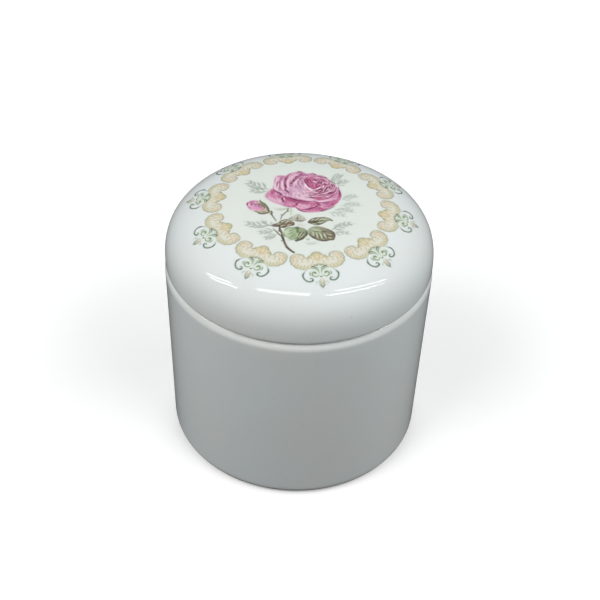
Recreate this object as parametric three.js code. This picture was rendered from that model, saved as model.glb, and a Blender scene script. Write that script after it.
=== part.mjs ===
// Round porcelain powder jar with a lift-off domed lid.
// Millimetres, +Z up. The origin is the centre of the foot, on the surface the jar stands on.

import * as THREE from 'three';

// ---- driving dimensions -------------------------------------------------------------------

const SEGMENTS = 64;              // facets round the axis, shared by every piece

const JAR_RADIUS = 50;            // outside, just under the rim
const SEAM_HEIGHT = 78.4;         // the flat land where the lid sits on the jar
const TOTAL_HEIGHT = 101;         // to the top of the dome
const WALL = 4.5;                 // cast thickness of the jar and the lid
const DRAFT_DEG = 0.3;            // how much the jar wall leans in towards the foot

const CORNER_RADIUS = 3.5;        // outside corner between wall and foot
const RIM_ROUND = 3.2;            // rounded shoulder below the lid
const EDGE_ROUND = 0.6;           // small edges softened by the glaze
const FLOOR_ROUND = 8;            // inside corner between wall and floor
const FOOT_OUTER = 46;            // the ring the jar stands on
const FOOT_INNER = 40;
const FOOT_RECESS = 1.6;          // how far the base is raised inside that ring
const FLOOR_HEIGHT = 6;           // top of the floor inside the jar

const LID_RADIUS = 49.7;          // widest, a little above the seam
const LID_WIDEST_ABOVE_SEAM = 1.2;
const LID_CURL = 1.2;             // how far the lid's lower edge turns in at the seam
const DOME_RADIAL_POWER = 4.4;    // higher is flatter on top
const DOME_HEIGHT_POWER = 2.75;   // higher is squarer at the shoulder
const HOLLOW_RADIUS = 42;         // inside of the dome
const HOLLOW_BASE_ABOVE_SEAM = 2.5;
const DOME_STEPS = 16;            // facets from the lid's widest point to its top
const HOLLOW_STEPS = 9;

const FLANGE_DEPTH = 6.5;         // the ring that drops into the jar's mouth
const FLANGE_CLEARANCE = 0.8;     // radial play that lets the lid lift out freely
const FLANGE_THICKNESS = 3;

const TRANSFER_THICKNESS = 0.1;   // fired-on printed film
const TRANSFER_GAP = 0.02;
const ROSE_RADIUS = 25.5;         // the bouquet's round patch
const BORDER_INNER = 27;          // the scroll garland's ring
const BORDER_OUTER = 44.5;

// ---- dimensions worked out from them ------------------------------------------------------

const MOUTH_RADIUS = JAR_RADIUS - WALL;
const FOOT_WALL_RADIUS = JAR_RADIUS - SEAM_HEIGHT * Math.tan(THREE.MathUtils.degToRad(DRAFT_DEG));
const LID_WIDEST_HEIGHT = SEAM_HEIGHT + LID_WIDEST_ABOVE_SEAM;
const LID_EDGE_RADIUS = LID_RADIUS - LID_CURL;
const FLANGE_OUTER = MOUTH_RADIUS - FLANGE_CLEARANCE;
const FLANGE_INNER = FLANGE_OUTER - FLANGE_THICKNESS;
const FLANGE_BOTTOM = SEAM_HEIGHT - FLANGE_DEPTH;

// ---- outline helpers ----------------------------------------------------------------------

// A quarter or part circle in the (radius, height) plane, in equal steps.
function arc(centreR, centreZ, radius, fromDeg, toDeg, steps) {
  const points = [];
  for (let i = 0; i <= steps; i += 1) {
    const angle = THREE.MathUtils.degToRad(fromDeg + ((toDeg - fromDeg) * i) / steps);
    points.push(new THREE.Vector2(centreR + radius * Math.cos(angle), centreZ + radius * Math.sin(angle)));
  }
  return points;
}

// Height of a dome at a radius: (r / radius)^a + (z / rise)^b = 1.
function domeHeight(r, radius, baseZ, topZ) {
  const across = Math.pow(Math.min(r / radius, 1), DOME_RADIAL_POWER);
  return baseZ + (topZ - baseZ) * Math.pow(1 - across, 1 / DOME_HEIGHT_POWER);
}

// The dome from its rim in to the axis, with the steps closest together at the shoulder.
function domeOutline(radius, baseZ, topZ, steps) {
  const points = [];
  for (let i = 0; i <= steps; i += 1) {
    const angle = (Math.PI / 2) * (i / steps);
    const r = i === steps ? 0 : radius * Math.pow(Math.cos(angle), 2 / DOME_RADIAL_POWER);
    points.push(new THREE.Vector2(r, domeHeight(r, radius, baseZ, topZ)));
  }
  return points;
}

const lidDome = domeOutline(LID_RADIUS, LID_WIDEST_HEIGHT, TOTAL_HEIGHT, DOME_STEPS);

// Turns an outline about the jar's axis. The outline runs anticlockwise in the (radius, height)
// plane, which leaves the faces pointing out once the lathe's own Y axis is stood up along +Z.
function turned(name, outline, material) {
  const geometry = new THREE.LatheGeometry(outline, SEGMENTS);
  geometry.rotateX(Math.PI / 2);
  const mesh = new THREE.Mesh(geometry, material);
  mesh.name = name;
  return mesh;
}

// ---- the pieces ---------------------------------------------------------------------------

function jarBody() {
  const point = (r, z) => new THREE.Vector2(r, z);
  const outline = [
    point(0, FOOT_RECESS),
    point(FOOT_INNER - EDGE_ROUND, FOOT_RECESS),
    point(FOOT_INNER, FOOT_RECESS - EDGE_ROUND),
    point(FOOT_INNER, 0),
    point(FOOT_OUTER, 0),
    ...arc(FOOT_WALL_RADIUS - CORNER_RADIUS, CORNER_RADIUS, CORNER_RADIUS, -80, 0, 4),
    ...arc(JAR_RADIUS - RIM_ROUND, SEAM_HEIGHT - RIM_ROUND, RIM_ROUND, 0, 90, 4),
    ...arc(MOUTH_RADIUS + EDGE_ROUND, SEAM_HEIGHT - EDGE_ROUND, EDGE_ROUND, 90, 180, 2),
    ...arc(MOUTH_RADIUS - FLOOR_ROUND, FLOOR_HEIGHT + FLOOR_ROUND, FLOOR_ROUND, 0, -90, 4),
    point(0, FLOOR_HEIGHT),
  ];
  return turned('jar_body', outline, new THREE.MeshStandardMaterial({
    color: 0xe4e6e6, roughness: 0.12, metalness: 0,
  }));
}

function lid() {
  const point = (r, z) => new THREE.Vector2(r, z);
  const hollowBase = SEAM_HEIGHT + HOLLOW_BASE_ABOVE_SEAM;
  const hollow = domeOutline(HOLLOW_RADIUS, hollowBase, TOTAL_HEIGHT - WALL, HOLLOW_STEPS).reverse();
  const outline = [
    ...hollow,
    point(FLANGE_INNER, SEAM_HEIGHT),
    point(FLANGE_INNER, FLANGE_BOTTOM + EDGE_ROUND),
    point(FLANGE_INNER + EDGE_ROUND, FLANGE_BOTTOM),
    point(FLANGE_OUTER - EDGE_ROUND, FLANGE_BOTTOM),
    point(FLANGE_OUTER, FLANGE_BOTTOM + EDGE_ROUND),
    point(FLANGE_OUTER, SEAM_HEIGHT),
    point(LID_EDGE_RADIUS, SEAM_HEIGHT),
    point(LID_RADIUS - LID_CURL * 0.35, SEAM_HEIGHT + LID_WIDEST_ABOVE_SEAM * 0.35),
    ...lidDome,
  ];
  return turned('lid', outline, new THREE.MeshStandardMaterial({
    color: 0xf0f2ee, roughness: 0.08, metalness: 0,
  }));
}

// The dome's height at a radius, on the straight facets between its outline's points.
function facetHeight(r) {
  const outer = lidDome.findLastIndex((p) => p.x >= r);
  const inner = Math.min(outer + 1, lidDome.length - 1);
  const a = lidDome[outer];
  const b = lidDome[inner];
  return inner === outer ? a.y : a.y + ((b.y - a.y) * (a.x - r)) / (a.x - b.x);
}

// A film that follows the dome's facets between two radii. An inner radius of 0 makes a disc.
function transfer(name, innerR, outerR, color) {
  const between = lidDome.map((p) => p.x).filter((r) => r > innerR && r < outerR).reverse();
  const radii = [innerR, ...between, outerR];
  const under = radii.map((r) => new THREE.Vector2(r, facetHeight(r) + TRANSFER_GAP));
  const over = under.map((p) => new THREE.Vector2(p.x, p.y + TRANSFER_THICKNESS)).reverse();
  const outline = [...under, ...over];
  if (innerR > 0) outline.push(under[0].clone());
  return turned(name, outline, new THREE.MeshStandardMaterial({
    color, roughness: 0.12, metalness: 0,
  }));
}

const powderJar = new THREE.Group();
powderJar.add(jarBody());
powderJar.add(lid());
powderJar.add(transfer('rose_transfer', 0, ROSE_RADIUS, 0xc4689c));
powderJar.add(transfer('border_transfer', BORDER_INNER, BORDER_OUTER, 0xd9c8a4));

export default powderJar;
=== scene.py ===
"""The looks of a round porcelain powder jar: glazed jar, domed lid and its two fired-on prints."""
import math

import bmesh
import bpy
import numpy as np
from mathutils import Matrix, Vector


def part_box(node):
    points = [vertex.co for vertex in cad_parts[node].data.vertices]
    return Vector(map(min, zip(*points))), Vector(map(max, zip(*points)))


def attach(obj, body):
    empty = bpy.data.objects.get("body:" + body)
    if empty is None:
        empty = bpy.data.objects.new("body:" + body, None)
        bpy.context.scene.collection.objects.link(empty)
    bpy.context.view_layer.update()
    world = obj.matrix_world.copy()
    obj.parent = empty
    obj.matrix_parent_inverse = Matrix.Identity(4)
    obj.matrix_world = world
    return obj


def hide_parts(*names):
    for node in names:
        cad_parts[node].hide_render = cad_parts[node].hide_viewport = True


MM = 0.001

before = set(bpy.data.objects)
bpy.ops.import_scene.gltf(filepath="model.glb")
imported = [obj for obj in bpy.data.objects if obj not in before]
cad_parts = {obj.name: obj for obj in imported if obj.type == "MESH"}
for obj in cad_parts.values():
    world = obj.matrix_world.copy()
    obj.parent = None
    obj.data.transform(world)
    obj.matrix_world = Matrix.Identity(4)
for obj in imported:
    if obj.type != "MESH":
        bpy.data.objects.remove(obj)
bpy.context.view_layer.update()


# ==== outlines ==============================================================================
# Every outline is a list of (radius, height) points in millimetres, from the axis out and back
# to the axis, that a full turn makes into a closed solid. The sizes that a node's box doesn't
# give repeat the CAD model's.

JAR_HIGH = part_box("jar_body")[1]
LID_LOW, LID_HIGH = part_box("lid")
JAR_RADIUS = JAR_HIGH.x / MM
SEAM = JAR_HIGH.z / MM
TOP = LID_HIGH.z / MM
LID_RADIUS = LID_HIGH.x / MM
FLANGE_BOTTOM = LID_LOW.z / MM

WALL = 4.5
DRAFT = math.tan(math.radians(0.3))
CORNER = 3.5
RIM_ROUND = 3.2
EDGE = 0.6
FLOOR_ROUND = 8.0
FOOT_INNER = 40.0
FOOT_RECESS = 1.6
FLOOR = 6.0
WIDEST_ABOVE_SEAM = 1.2
LID_CURL = 1.2
RADIAL_POWER, HEIGHT_POWER = 4.4, 2.75
HOLLOW_RADIUS = 42.0
HOLLOW_ABOVE_SEAM = 2.5
FLANGE_CLEARANCE = 0.8
FLANGE_THICKNESS = 3.0
MOUTH = JAR_RADIUS - WALL
FLANGE_OUTER = MOUTH - FLANGE_CLEARANCE
FLANGE_INNER = FLANGE_OUTER - FLANGE_THICKNESS
LID_EDGE = LID_RADIUS - LID_CURL
WIDEST = SEAM + WIDEST_ABOVE_SEAM
FOOT_WALL = JAR_RADIUS - SEAM * DRAFT
BORDER_INNER, BORDER_OUTER = 27.0, 44.5

HOLLOW_STEPS, DOME_STEPS = 28, 64
STEP = 1.2           # the longest stretch of an outline
TURNS = 256          # steps of a full turn


def arc(centre_r, centre_z, radius, start, end, steps=8):
    """Part of a circle, from one angle to another in degrees."""
    angles = np.radians(np.linspace(start, end, steps + 1))
    return [(centre_r + radius * math.cos(a), centre_z + radius * math.sin(a)) for a in angles]


def dome_height(r, radius=LID_RADIUS, base=WIDEST, top=TOP):
    """The height of a flat-topped dome at a radius: (r / radius)^a + (z / rise)^b = 1."""
    across = np.clip(np.asarray(r, float) / radius, 0, 1) ** RADIAL_POWER
    return base + (top - base) * (1 - across) ** (1 / HEIGHT_POWER)


def dome(radius, base, top, steps):
    """The dome from its rim in to the axis, with the steps closest together at the shoulder."""
    angles = np.linspace(0, math.pi / 2, steps + 1)
    radii = radius * np.cos(angles) ** (2 / RADIAL_POWER)
    radii[-1] = 0
    return [(float(r), float(dome_height(r, radius, base, top))) for r in radii]


def spaced(points, step=STEP):
    """The same outline with no stretch longer than step, so that noise and tints have room."""
    out = [points[0]]
    for a, b in zip(points, points[1:]):
        pieces = max(1, math.ceil(math.dist(a, b) / step))
        out += [(a[0] + (b[0] - a[0]) * i / pieces, a[1] + (b[1] - a[1]) * i / pieces)
                for i in range(1, pieces + 1)]
    return out


def jar_outline():
    return [
        (0, FOOT_RECESS),
        *arc(FOOT_INNER - 1, FOOT_RECESS - 1, 1, 90, 30, 4),
        (FOOT_INNER + 0.2, 0),
        *arc(FOOT_WALL - CORNER, CORNER, CORNER, -90, 0),
        *arc(JAR_RADIUS - RIM_ROUND, SEAM - RIM_ROUND, RIM_ROUND, 0, 90, 10),
        *arc(MOUTH + EDGE, SEAM - EDGE, EDGE, 90, 180, 5),
        *arc(MOUTH - FLOOR_ROUND, FLOOR + FLOOR_ROUND, FLOOR_ROUND, 0, -90, 10),
        (0, FLOOR),
    ]


def lid_outline():
    curl = [(LID_EDGE + LID_CURL * math.sin(a), WIDEST - WIDEST_ABOVE_SEAM * math.cos(a))
            for a in np.linspace(0, math.pi / 2, 7)[:-1]]
    return [
        *reversed(dome(HOLLOW_RADIUS, SEAM + HOLLOW_ABOVE_SEAM, TOP - WALL, HOLLOW_STEPS)),
        (FLANGE_INNER, SEAM),
        *arc(FLANGE_INNER + EDGE, FLANGE_BOTTOM + EDGE, EDGE, 180, 270, 4),
        *arc(FLANGE_OUTER - EDGE, FLANGE_BOTTOM + EDGE, EDGE, -90, 0, 4),
        (FLANGE_OUTER, SEAM),
        *curl,
        *dome(LID_RADIUS, WIDEST, TOP, DOME_STEPS),
    ]


# ==== meshes ================================================================================

def link(name, mesh):
    obj = bpy.data.objects.new(name, mesh)
    bpy.context.scene.collection.objects.link(obj)
    return obj


def point_attribute(mesh, name, values, kind="FLOAT"):
    attribute = mesh.attributes.new(name, kind, "POINT")
    key = "color" if kind == "FLOAT_COLOR" else "value"
    attribute.data.foreach_set(key, np.asarray(values, np.float32).ravel())


# A hand-finished wall strays inwards from a true circle, in waves of about this many millimetres,
# and nowhere by more than this share of the radius, so that it closes cleanly on the axis.
STRAY = 0.03
LARGEST_STRAY = 0.002


def turning(angle, z):
    """How far the wall strays inwards, in waves that slowly turn as they climb."""
    return STRAY * (2 + np.sin(2 * angle + 0.7 + z * 0.02) + 0.6 * np.sin(3 * angle - z * 0.05))


def outside_garland(r):
    """0 at the lid's middle, rising to 1 across the inner half of the garland."""
    return np.clip((r - BORDER_INNER) / 8, 0, 1)


def turned(name, outline, bare_at):
    """A closed solid of revolution. bare_at(r, z) is True where the ceramic has no glaze."""
    rz = np.array(spaced(outline))
    angles = np.arange(TURNS) * 2 * math.pi / TURNS
    ring = rz[1:-1]
    grid_a, grid_r = np.meshgrid(angles, ring[:, 0], indexing="ij")
    grid_z = np.broadcast_to(ring[:, 1], grid_a.shape)
    grid_r = grid_r - np.minimum(turning(grid_a, grid_z), grid_r * LARGEST_STRAY)
    co = np.stack([grid_r * np.cos(grid_a), grid_r * np.sin(grid_a), grid_z], -1).reshape(-1, 3)
    poles = [[0, 0, rz[0, 1]], [0, 0, rz[-1, 1]]]
    co = np.concatenate([co, poles])
    count = len(ring)
    first, last = TURNS * count, TURNS * count + 1
    faces = []
    for i in range(TURNS):
        here, there = i * count, (i + 1) % TURNS * count
        faces.append((first, there, here))
        faces += [(here + k, there + k, there + k + 1, here + k + 1) for k in range(count - 1)]
        faces.append((here + count - 1, there + count - 1, last))
    mesh = bpy.data.meshes.new(name)
    mesh.from_pydata((co * MM).tolist(), [], faces)
    mesh.polygons.foreach_set("use_smooth", [True] * len(mesh.polygons))
    bend = outline_bend(rz)[1:-1]
    # pooled_shade marks the inner corners, where the glaze is painted darker as their shade
    for key, values in (("bare", [1.0 if bare_at(r, z) else 0.0 for r, z in ring]),
                        ("edge", np.clip(bend, 0, 1)), ("pooled_shade", np.clip(-bend, 0, 1)),
                        ("outer", outside_garland(ring[:, 0]))):
        point_attribute(mesh, key, np.append(np.tile(values, TURNS), [0, 0]))
    return link(name, mesh)


def outline_bend(rz):
    """+1 on a tight outer edge, -1 in a tight inner corner, from the turn of the outline."""
    step = np.diff(rz, axis=0)
    heading = np.unwrap(np.arctan2(step[:, 1], step[:, 0]))
    turn = np.zeros(len(rz))
    reach = np.linalg.norm(rz[2:] - rz[:-2], axis=1) / 2
    turn[1:-1] = np.diff(heading) / np.maximum(reach, 0.2)
    return np.tanh(turn * 1.5)


# ==== materials =============================================================================
# Sizes of the glaze's detail, as the scale of a noise in object space (cells to a metre).

DRIFT, SPECKS, GLOSS_PATCHES = 22.0, 900.0, 140.0
ORANGE_PEEL, SAND_ROUGHNESS, SAND = 170.0, 900.0, 2600.0
BARE_EDGE, BISQUE_GRAIN, INK_MOTTLE = 400.0, 1800.0, 1500.0
PORCELAIN_IOR = 1.52
BUMP_STRENGTH, BUMP_DEPTH = 0.22, 0.12 * MM


class Nodes:
    """A small helper that adds and joins shader nodes."""

    def __init__(self, name):
        self.material = bpy.data.materials.new(name)
        self.material.use_nodes = True
        self.tree = self.material.node_tree
        self.tree.nodes.clear()
        self.out = self.add("ShaderNodeOutputMaterial")
        self.shader = self.add("ShaderNodeBsdfPrincipled")
        self.tree.links.new(self.shader.outputs[0], self.out.inputs["Surface"])
        self.place = self.add("ShaderNodeTexCoord").outputs["Object"]

    def add(self, kind, **settings):
        node = self.tree.nodes.new(kind)
        for key, value in settings.items():
            setattr(node, key, value)
        return node

    def feed(self, socket, value):
        if isinstance(value, bpy.types.NodeSocket):
            self.tree.links.new(value, socket)
        else:
            socket.default_value = value

    def attribute(self, name, output="Fac"):
        return self.add("ShaderNodeAttribute", attribute_name=name).outputs[output]

    def noise(self, scale, detail=2.0, roughness=0.5):
        node = self.add("ShaderNodeTexNoise")
        self.feed(node.inputs["Vector"], self.place)
        self.feed(node.inputs["Scale"], scale)
        self.feed(node.inputs["Detail"], detail)
        self.feed(node.inputs["Roughness"], roughness)
        return node.outputs["Fac"]

    def fit(self, value, low, high, to_low=0.0, to_high=1.0):
        node = self.add("ShaderNodeMapRange")
        for socket, number in zip(node.inputs, (value, low, high, to_low, to_high)):
            self.feed(socket, number)
        return node.outputs[0]

    def maths(self, operation, a, b):
        node = self.add("ShaderNodeMath", operation=operation)
        self.feed(node.inputs[0], a)
        self.feed(node.inputs[1], b)
        return node.outputs[0]

    def mix(self, factor, a, b):
        node = self.add("ShaderNodeMix", data_type="RGBA")
        self.feed(node.inputs["Factor"], factor)
        self.feed(node.inputs[6], a)
        self.feed(node.inputs[7], b)
        return node.outputs[2]


def linear(rgb):
    """Screen colours from 0 to 255 as the linear light that shaders work in."""
    c = np.asarray(rgb, float) / 255
    return np.where(c <= 0.04045, c / 12.92, ((c + 0.055) / 1.055) ** 2.4)


def colour(r, g, b):
    return (*(float(v) for v in linear((r, g, b))), 1.0)


def glaze_colour(n):
    """White glaze, a little green inside the garland and blue outside it, that drifts warmer over
    a few centimetres and has a faint scatter of specks."""
    skin = n.mix(n.attribute("outer"), GLAZE_INNER, GLAZE_OUTER)
    skin = n.mix(n.fit(n.noise(DRIFT), 0.35, 0.65, 0.0, 0.35), skin, GLAZE_WARM)
    specks = n.fit(n.noise(SPECKS, 1.0, 0.3), 0.79, 0.83, 0.0, 0.35)
    return n.mix(specks, skin, SPECK)


def glaze_finish(n, bare):
    """Gloss and the soft orange-peel of a fired glaze, matt and sandy where it is bare."""
    gloss = n.fit(n.noise(GLOSS_PATCHES, 3.0), 0.3, 0.7, 0.03, 0.06)
    matt = n.fit(n.noise(SAND_ROUGHNESS), 0.2, 0.8, 0.62, 0.85)
    rough = n.maths("ADD", n.maths("MULTIPLY", gloss, n.maths("SUBTRACT", 1.0, bare)),
                    n.maths("MULTIPLY", matt, bare))
    n.feed(n.shader.inputs["Roughness"], rough)
    n.shader.inputs["IOR"].default_value = PORCELAIN_IOR
    peel = n.maths("MULTIPLY", n.noise(ORANGE_PEEL), 0.6)
    sand = n.maths("MULTIPLY", n.noise(SAND), n.maths("MULTIPLY", bare, 0.7))
    bump = n.add("ShaderNodeBump")
    bump.inputs["Strength"].default_value = BUMP_STRENGTH
    bump.inputs["Distance"].default_value = BUMP_DEPTH
    n.feed(bump.inputs["Height"], n.maths("ADD", peel, sand))
    n.feed(n.shader.inputs["Normal"], bump.outputs[0])


GLAZE_INNER = colour(229, 236, 230)
GLAZE_OUTER = colour(231, 238, 239)
GLAZE_WARM = colour(234, 235, 230)
# pooled glaze in the inner corners, darkened as painted shade
POOLED_SHADE = colour(204, 214, 211)
THIN = colour(232, 232, 224)
BISQUE = colour(222, 214, 200)
BISQUE_DARK = colour(190, 178, 160)
SPECK = colour(176, 166, 148)


def porcelain(name):
    """Glaze that pools in inner corners, where its colour is painted darker as their shade, and thins on
    edges, with bare biscuit where it was wiped.
    """
    n = Nodes(name)
    wander = n.fit(n.noise(BARE_EDGE, 3.0), 0.2, 0.8, -0.25, 0.25)
    bare = n.fit(n.maths("ADD", n.attribute("bare"), wander), 0.4, 0.6)
    skin = glaze_colour(n)
    # painted shade: inner corners darken towards the pooled colour
    skin = n.mix(n.maths("MULTIPLY", n.attribute("pooled_shade"), 0.6), skin, POOLED_SHADE)
    skin = n.mix(n.maths("MULTIPLY", n.attribute("edge"), 0.5), skin, THIN)
    grains = n.fit(n.noise(BISQUE_GRAIN, 3.0), 0.2, 0.8, 0.0, 0.35)
    body = n.mix(grains, BISQUE, BISQUE_DARK)
    n.feed(n.shader.inputs["Base Color"], n.mix(bare, skin, body))
    glaze_finish(n, bare)
    return n.material


def printed(name):
    """The lid's own glaze with fired ink on it, read from the colours painted on the mesh."""
    n = Nodes(name)
    skin = glaze_colour(n)
    mottle = n.fit(n.noise(INK_MOTTLE), 0.3, 0.7, 0.0, 0.1)
    ink = n.mix(mottle, n.attribute("ink", "Color"), GLAZE_INNER)
    n.feed(n.shader.inputs["Base Color"], n.mix(n.attribute("cover"), skin, ink))
    glaze_finish(n, 0.0)
    return n.material


# ==== painting ==============================================================================
# The prints are painted in plan: millimetres from the print's centre, x to the right and y away
# from the side that the spray is read from. Colours are screen values from 0 to 255.

# A film's grey before any ink; the random table's width, and a shift that keeps its cells
# positive; the grains of a patch; the share of a stroke over which its tip swells.
BARE_FILM = 220.0
GRAIN_CELLS, GRAIN_SHIFT = 64, 500
STREAK_WIDTH, STREAK_ASPECT, BLOTCH = 0.45, 5.0, 1.3
TAPER = 0.35


class Print:
    """Ink on a set of points. Each layer goes over the ones before it."""

    def __init__(self, x, y):
        self.at = np.stack([x, y], -1)
        self.ink = np.full((len(x), 3), BARE_FILM)
        self.cover = np.zeros(len(x))

    def near(self, line, reach):
        """The points in a box round a line."""
        low, high = line.min(0) - reach, line.max(0) + reach
        return np.flatnonzero(np.all((self.at > low) & (self.at < high), axis=1))

    def lay(self, where, rgb, alpha):
        """One coat of a colour over what is there already."""
        old = self.cover[where]
        new = alpha + old * (1 - alpha)
        share = np.where(new > 1e-4, alpha / np.maximum(new, 1e-4), 0.0)
        self.ink[where] += (np.asarray(rgb, float) - self.ink[where]) * share[:, None]
        self.cover[where] = new


def smooth(points, closed=False, per=6):
    """A curve through the points (Catmull-Rom)."""
    p = np.array(points, float)
    if closed:
        q = np.concatenate([p[-1:], p, p[:2]])
    else:
        q = np.concatenate([2 * p[:1] - p[1:2], p, 2 * p[-1:] - p[-2:-1]])
    t = np.linspace(0, 1, per, endpoint=False)[:, None]
    spans = [0.5 * (2 * b + (c - a) * t + (2 * a - 5 * b + 4 * c - d) * t ** 2
                    + (3 * b - a - 3 * c + d) * t ** 3)
             for a, b, c, d in zip(q, q[1:], q[2:], q[3:])]
    return np.concatenate([*spans, q[-2:-1]])


def nearest(at, line):
    """Distance to a polyline, and how far along it, from 0 to 1, the nearest point is."""
    best, along = np.full(len(at), 1e9), np.zeros(len(at))
    for i, (a, step) in enumerate(zip(line, np.diff(line, axis=0))):
        t = np.clip((at - a) @ step / max(step @ step, 1e-12), 0, 1)
        away = np.linalg.norm(at - a - t[:, None] * step, axis=1)
        closer = away < best
        best[closer], along[closer] = away[closer], (i + t[closer]) / (len(line) - 1)
    return best, along


def inside(at, loop):
    """Even-odd test against a closed polyline whose last point repeats its first."""
    within = np.zeros(len(at), bool)
    for a, b in zip(loop, loop[1:]):
        if a[1] != b[1]:
            crosses = (a[1] > at[:, 1]) != (b[1] > at[:, 1])
            within ^= crosses & (at[:, 0] < a[0] + (b[0] - a[0]) * (at[:, 1] - a[1]) / (b[1] - a[1]))
    return within


def depth(at, loop):
    """Distance to the outline: positive inside it, negative outside."""
    away = nearest(at, loop)[0]
    return np.where(inside(at, loop), away, -away)


def grain(at, size, seed, stretch=(1.0, 0.0), aspect=1.0):
    """Smooth random values from -1 to 1, about size across, drawn out along a direction."""
    along = np.array(stretch, float) / np.hypot(*stretch)
    across = np.array([-along[1], along[0]])
    u, v = at @ along / (size * aspect) + GRAIN_SHIFT, at @ across / size + GRAIN_SHIFT
    table = np.random.default_rng(seed).uniform(-1, 1, (GRAIN_CELLS, GRAIN_CELLS))
    i, j = np.floor(u).astype(int), np.floor(v).astype(int)
    fu, fv = u - i, v - j
    fu, fv = fu * fu * (3 - 2 * fu), fv * fv * (3 - 2 * fv)
    low, high = (table[i % GRAIN_CELLS, row % GRAIN_CELLS] * (1 - fu)
                 + table[(i + 1) % GRAIN_CELLS, row % GRAIN_CELLS] * fu for row in (j, j + 1))
    return low * (1 - fv) + high * fv


def step_up(value, low, high):
    """A smooth step from 0 at low to 1 at high."""
    t = np.clip((value - low) / (high - low), 0, 1)
    return t * t * (3 - 2 * t)


def stroke(ink, points, width, rgb, alpha=1.0, tip=(0.2, 0.2), soft=0.14, closed=False):
    """A brush line whose width swells from tip[0] to full and back to tip[1], shares of the width."""
    line = smooth(points, closed)
    where = ink.near(line, width + soft)
    away, along = nearest(ink.at[where], line)
    swell = np.minimum(tip[0] + (1 - tip[0]) * along / TAPER, tip[1] + (1 - tip[1]) * (1 - along) / TAPER)
    half = width / 2 * np.clip(swell, 0, 1)
    mask = step_up(half - away, -soft, soft)
    fade = np.clip(half / (width / 2) * 1.6, 0, 1)
    ink.lay(where, rgb, alpha * mask * fade)


def patch(ink, points, dark, light, towards=(0, 1), alpha=1.0, soft=0.16, streak=0.12,
          rim=None, rim_width=0.8, edge=None, edge_width=0.3, seed=1, mid=0.5):
    """A closed shape shaded from dark to light along a direction, with painterly streaks: long
    fine ones that run with the shading, and broader blotches. mid moves the shading's middle, rim
    tints a soft band inside the outline, and edge draws a thin line on it."""
    loop = smooth(points, closed=True)
    where = ink.near(loop, soft)
    at = ink.at[where]
    within = depth(at, loop)
    way = np.array(towards, float) / np.hypot(*towards)
    span = loop @ way
    t = (at @ way - span.min()) / (span.max() - span.min())
    t = (t + streak * grain(at, STREAK_WIDTH, seed, way, STREAK_ASPECT)
         + streak * 0.7 * grain(at, BLOTCH, seed + 50))
    t = np.clip(t + 0.5 - mid, 0, 1)
    t = t * t * (3 - 2 * t)
    rgb = np.array(dark, float) + (np.array(light, float) - np.array(dark, float)) * t[:, None]
    if rim is not None:
        near_rim = step_up(within, rim_width, 0.0) * (0.75 + 0.25 * grain(at, 0.7, seed + 9))
        rgb = rgb + (np.array(rim, float) - rgb) * near_rim[:, None]
    if edge is not None:
        on_edge = step_up(within, edge_width, edge_width * 0.2) * 0.85
        rgb = rgb + (np.array(edge, float) - rgb) * on_edge[:, None]
    ink.lay(where, rgb, alpha * step_up(within, -soft, soft))


def strokes(ink, width, rgb, alpha, *paths, soft=0.16, tip=(0.2, 0.2)):
    """Brush lines that share a width and a colour."""
    for path in paths:
        stroke(ink, path, width, rgb, alpha, tip=tip, soft=soft)


# ---- the rose spray ------------------------------------------------------------------------

DEEP = (144, 62, 102)
MAGENTA = (174, 84, 128)
ROSE = (196, 118, 158)
PALE = (224, 182, 206)
BLUSH = (243, 218, 233)
SHADE = (122, 50, 86)
BARK = (92, 82, 66)
FERN = (148, 161, 150)
BROWN = (104, 94, 72)
INKY = (72, 66, 50)

HEART_X, HEART_Y = 3.4, 12.4
PAINTED_PINK = np.array((200, 142, 173))
FIRED_PINK = np.array((198, 137, 168))
FIRED_CONTRAST = 1.24


def bloom(ink):
    """The whole flower's ground: its shaded left edge, then the silhouette."""
    patch(ink, [(-13.4, 5), (-12.4, 7), (-10.7, 9), (-8.6, 7), (-6.4, 4.6), (-6.2, 1.2), (-6.6, -1.2),
                (-8.6, -0.8), (-11.2, 0.9), (-12.9, 2.8)], (218, 164, 192), (194, 104, 152), (-0.1, 1),
          streak=0.3, seed=3, soft=0.7, mid=0.62)
    silhouette = [(-3.4, 20.6), (-1.6, 21.5), (0, 21), (1.6, 20), (3.8, 20.6), (5.4, 19.4), (7.2, 19),
                  (8.8, 17.8), (10.2, 15.8), (10.8, 13.8), (12.4, 12.6), (13.6, 10.6), (14.3, 7.6),
                  (14.3, 5), (13.4, 2.4), (11.8, -0.2), (9.6, -2.4), (7.2, -4.2), (4, -5), (0.8, -5),
                  (-1.2, -3.6), (-2.4, -2.4), (-4.4, -2.4), (-6.6, -1.4), (-7, 1.6), (-7.6, 5),
                  (-10.7, 8.8), (-10.5, 12.5), (-10.3, 17), (-8.4, 18.2), (-6.4, 18), (-5.2, 19.6)]
    patch(ink, silhouette, (214, 160, 190), ROSE, (1, -0.3), soft=0.3, seed=2)


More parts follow.
